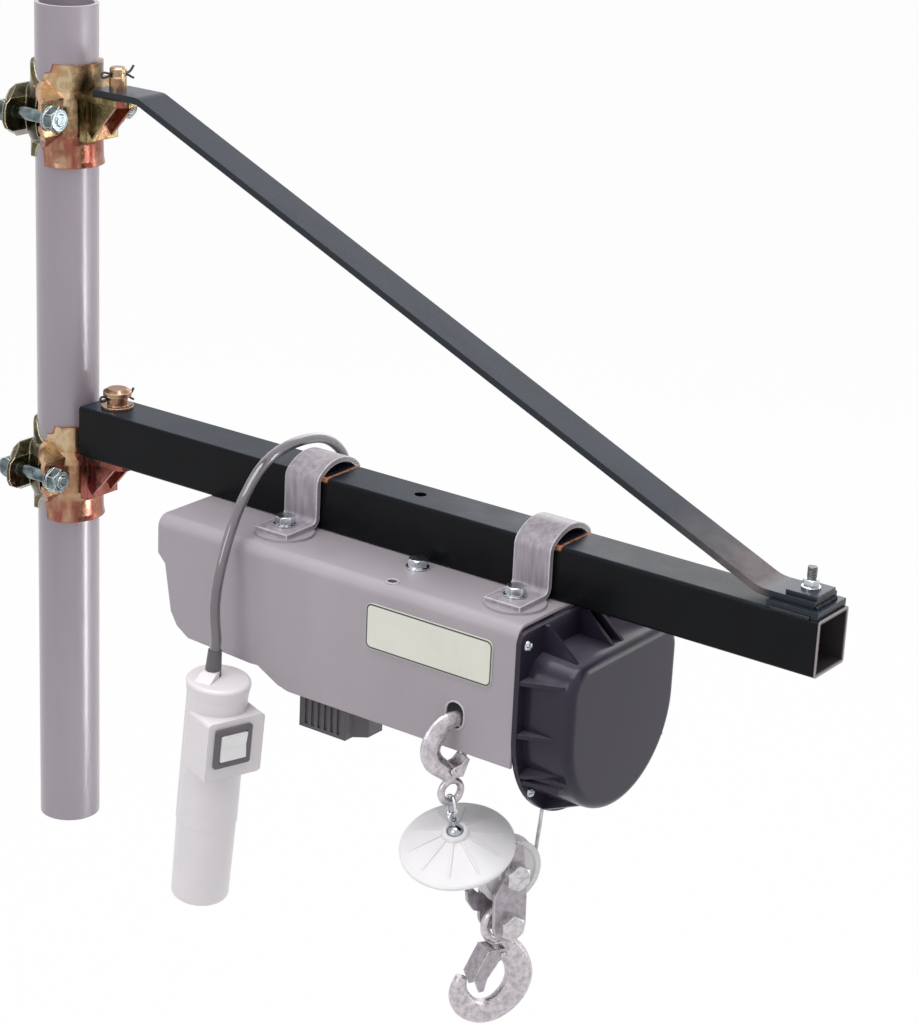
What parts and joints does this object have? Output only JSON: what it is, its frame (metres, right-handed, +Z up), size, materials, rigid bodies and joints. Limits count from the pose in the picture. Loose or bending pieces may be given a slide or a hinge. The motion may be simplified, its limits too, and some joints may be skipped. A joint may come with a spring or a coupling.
{
  "type": "jib crane with electric hoist",
  "caption": "Swinging jib crane clamped to a scaffold tube: square boom, flat strut and an electric wire rope hoist with hook block, limit disc and hand control.",
  "frame": {"origin": "Centre of the lower end face of the mast tube, on the mast's axis.", "axes": "Z up along the mast, X along the boom from the mast outwards at rest, Y sideways, away from the side with the name plate."},
  "size_m": [0.714, 0.2137, 0.666],
  "materials": {
    "mast_paint": "smooth grey coat, satin",
    "zinc_gold": "yellow zinc plating with rainbow tints",
    "bolt_zinc": "bright zinc",
    "black_paint": "satin black powder coat, rubbed at a few edges",
    "dark_steel": "dark oiled steel",
    "strap_steel": "pressed galvanised strip",
    "hoist_grey": "grey baked enamel",
    "inner_grey": "dark grey paint",
    "cover_plastic": "fine grained violet grey plastic",
    "box_plastic": "dark grey plastic",
    "plate_cream": "cream plate with a dark border, bare",
    "hook_steel": "zinc plated forging",
    "disc_plastic": "off-white moulded plastic",
    "rope_wire": "galvanised wire rope",
    "sheave_plastic": "pale moulded plastic",
    "cable_rubber": "grey rubber sheath",
    "pendant_plastic": "pale grey moulded plastic",
    "frame_plastic": "near black plastic",
    "rocker_white": "white plastic"
  },
  "bodies": {
    "mast": {"mast_tube": "mast_paint", "lower_saddle": "zinc_gold", "lower_flap": "zinc_gold", "lower_clamp_bolts": "bolt_zinc", "lower_bracket": "zinc_gold", "lower_pin": "zinc_gold", "upper_saddle": "zinc_gold", "upper_flap": "zinc_gold", "upper_clamp_bolts": "bolt_zinc", "upper_bracket": "zinc_gold", "upper_pin": "zinc_gold", "split_pins": "dark_steel"},
    "jib": {"boom_tube": "black_paint", "strut_bar": "black_paint", "tip_pad": "black_paint", "tip_bolt": "bolt_zinc", "inner_strap": "strap_steel", "outer_strap": "strap_steel", "strap_bolts": "bolt_zinc", "hoist_housing": "hoist_grey", "inner_tray": "inner_grey", "motor": "inner_grey", "rope_drum": "dark_steel", "end_cover": "cover_plastic", "cover_screws": "bolt_zinc", "underside_box": "box_plastic", "name_plate": "plate_cream", "end_hook": "hook_steel", "end_hook_latch": "hook_steel", "chain_links": "bolt_zinc", "limit_disc": "disc_plastic", "hoist_rope": "rope_wire", "block_plates": "hook_steel", "block_bolts": "hook_steel", "cable_gland": "frame_plastic", "pendant_cord": "cable_rubber", "strain_relief": "cable_rubber", "pendant_body": "pendant_plastic", "switch_frame": "frame_plastic"},
    "sheave": {"sheave": "sheave_plastic"},
    "hook": {"main_hook": "hook_steel"},
    "latch": {"main_hook_latch": "hook_steel"},
    "switch": {"rocker": "rocker_white"}
  },
  "joints": [
    {"name": "jib_swing", "type": "hinge", "parent": "mast", "child": "jib", "pos_m": [0.052, 0, 0.34], "axis": [0, 0, 1], "range_deg": [-15, 15]},
    {"name": "sheave_spin", "type": "hinge", "parent": "jib", "child": "sheave", "pos_m": [0.46778, -0.0459, 0.12125], "axis": [0.9063, -0.4226, 0], "continuous": true},
    {"name": "hook_swing", "type": "hinge", "parent": "jib", "child": "hook", "pos_m": [0.4668, -0.048, 0.0822], "axis": [0.9063, -0.4226, 0], "range_deg": [-30, 30]},
    {"name": "hook_latch", "type": "hinge", "parent": "hook", "child": "latch", "pos_m": [0.46596, -0.04981, 0.0572], "axis": [0.9063, -0.4226, 0], "range_deg": [0, 30], "stiffness_Nm_per_rad": 0.02, "springref_deg": -11.46},
    {"name": "rocker_press", "type": "hinge", "parent": "jib", "child": "switch", "pos_m": [0.26606, -0.11336, 0.17976], "axis": [0.2746, 0.9613, -0.024], "range_deg": [-8, 8], "stiffness_Nm_per_rad": 0.2}
  ]
}
